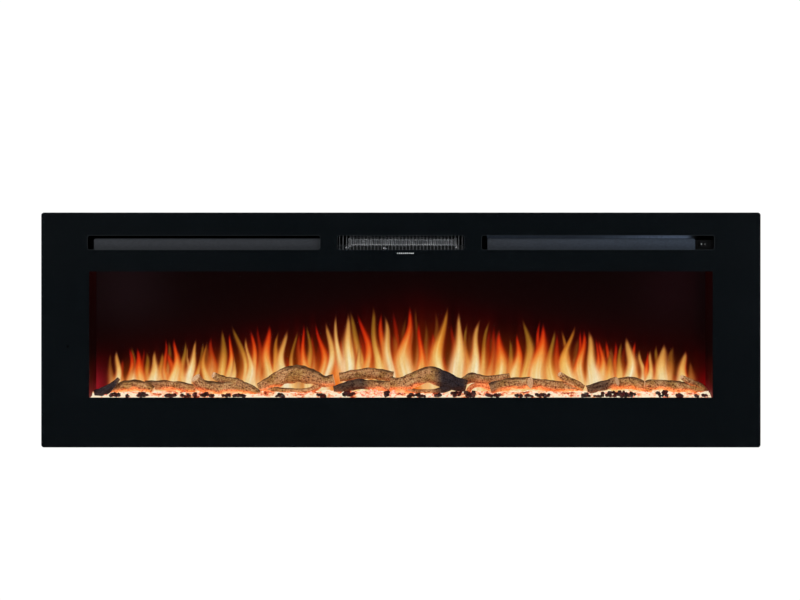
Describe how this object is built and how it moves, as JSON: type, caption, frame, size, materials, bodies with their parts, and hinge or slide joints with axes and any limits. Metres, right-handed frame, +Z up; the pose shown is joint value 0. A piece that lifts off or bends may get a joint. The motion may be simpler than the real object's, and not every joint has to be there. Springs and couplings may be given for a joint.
{
  "type": "electric fireplace",
  "caption": "Wide recessed electric fireplace with a frameless black glass front, log and ember bed, flame screen, top heater slot and air slots.",
  "frame": {"origin": "middle of the wall bracket's row of holes, on the wall's surface", "axes": "+X to the viewer's right along the glass's long side, -Y out of the wall towards the room (the front faces -Y), +Z up"},
  "size_m": [1.524, 0.1523, 0.498],
  "materials": {
    "front_glass": "clear tempered glass, polished edges",
    "black_print": "gloss black ceramic print fired on the glass",
    "black_sheet": "fine-textured black powder coat on sheet steel",
    "galvanised": "galvanised sheet steel",
    "dark_grille": "satin grey enamelled wire",
    "flame_screen": "translucent woven-textured projection screen",
    "dark_liner": "satin dark liner lit red by the embers",
    "mirror_sheet": "polished aluminium foil sheet",
    "ember_resin": "translucent orange moulded resin",
    "ember_chips": "loose amber and charred glass chips",
    "bark": "hand-painted cast resin with bark relief",
    "circuit_board": "solder-masked board",
    "bright_steel": "ground steel",
    "brass_bush": "sintered bronze bush",
    "motor_can": "plated steel can",
    "bare_aluminium": "bare aluminium",
    "grey_strip": "fine-textured dark grey coat",
    "black_plastic": "satin black nylon",
    "dark_lens": "infrared-pass dark lens",
    "white_plastic": "white nylon",
    "cable_jacket": "flexible jacket",
    "black_rubber": "moulded rubber"
  },
  "bodies": {
    "housing": {"blower_motor": "motor_can", "bottom_panel": "black_sheet", "cord_gland": "black_plastic", "ember_chips": "ember_chips", "ember_led_board": "circuit_board", "ember_tray": "ember_resin", "flame_led_board": "circuit_board", "flame_motor_left": "motor_can", "flame_motor_right": "motor_can", "flame_screen": "flame_screen", "flame_template": "mirror_sheet", "front_frame": "black_sheet", "front_glass": "front_glass", "glass_border_print": "black_print", "glass_carrier": "black_sheet", "heater_duct": "black_sheet", "heater_shelf": "galvanised", "heating_element": "bare_aluminium", "intake_panel_left": "grey_strip", "intake_panel_right": "grey_strip", "log_01": "bark", "log_02": "bark", "log_03": "bark", "log_04": "bark", "log_05": "bark", "log_06": "bark", "log_07": "bark", "log_08": "bark", "log_09": "bark", "log_10": "bark", "log_11": "bark", "log_12": "bark", "log_13": "bark", "log_14": "bark", "main_board": "circuit_board", "outlet_grille": "dark_grille", "rear_bumpers": "black_rubber", "rear_panel": "black_sheet", "receiver_lens": "dark_lens", "rotor_brackets": "galvanised", "screws": "bright_steel", "shaft_bushes": "brass_bush", "side_liner_left": "dark_liner", "side_liner_right": "dark_liner", "side_panel_left": "black_sheet", "side_panel_right": "black_sheet", "switch_body": "black_plastic", "switch_plate": "black_plastic", "terminal_block": "white_plastic", "thermal_cutout": "motor_can", "top_panel": "black_sheet", "tray_shelf": "black_sheet", "wall_bracket": "black_sheet", "wire_harness": "cable_jacket"},
    "flame_rotor_left": {"rotor_left_shaft": "bright_steel", "rotor_left_vanes": "mirror_sheet"},
    "flame_rotor_right": {"rotor_right_shaft": "bright_steel", "rotor_right_vanes": "mirror_sheet"},
    "blower": {"blower_wheel": "bare_aluminium"},
    "rocker": {"power_rocker": "black_plastic"}
  },
  "joints": [
    {"name": "flame_rotor_left_spin", "type": "hinge", "parent": "housing", "child": "flame_rotor_left", "pos_m": [-0.34, -0.04, -0.28], "axis": [1, 0, 0], "continuous": true},
    {"name": "flame_rotor_right_spin", "type": "hinge", "parent": "housing", "child": "flame_rotor_right", "pos_m": [0.34, -0.04, -0.28], "axis": [1, 0, 0], "continuous": true},
    {"name": "blower_spin", "type": "hinge", "parent": "housing", "child": "blower", "pos_m": [0, -0.068, 0.07], "axis": [1, 0, 0], "continuous": true},
    {"name": "power_rocker_tilt", "type": "hinge", "parent": "housing", "child": "rocker", "pos_m": [0.6407, -0.1354, 0.0712], "axis": [0, 0, 1], "range_deg": [-18, 0]}
  ]
}
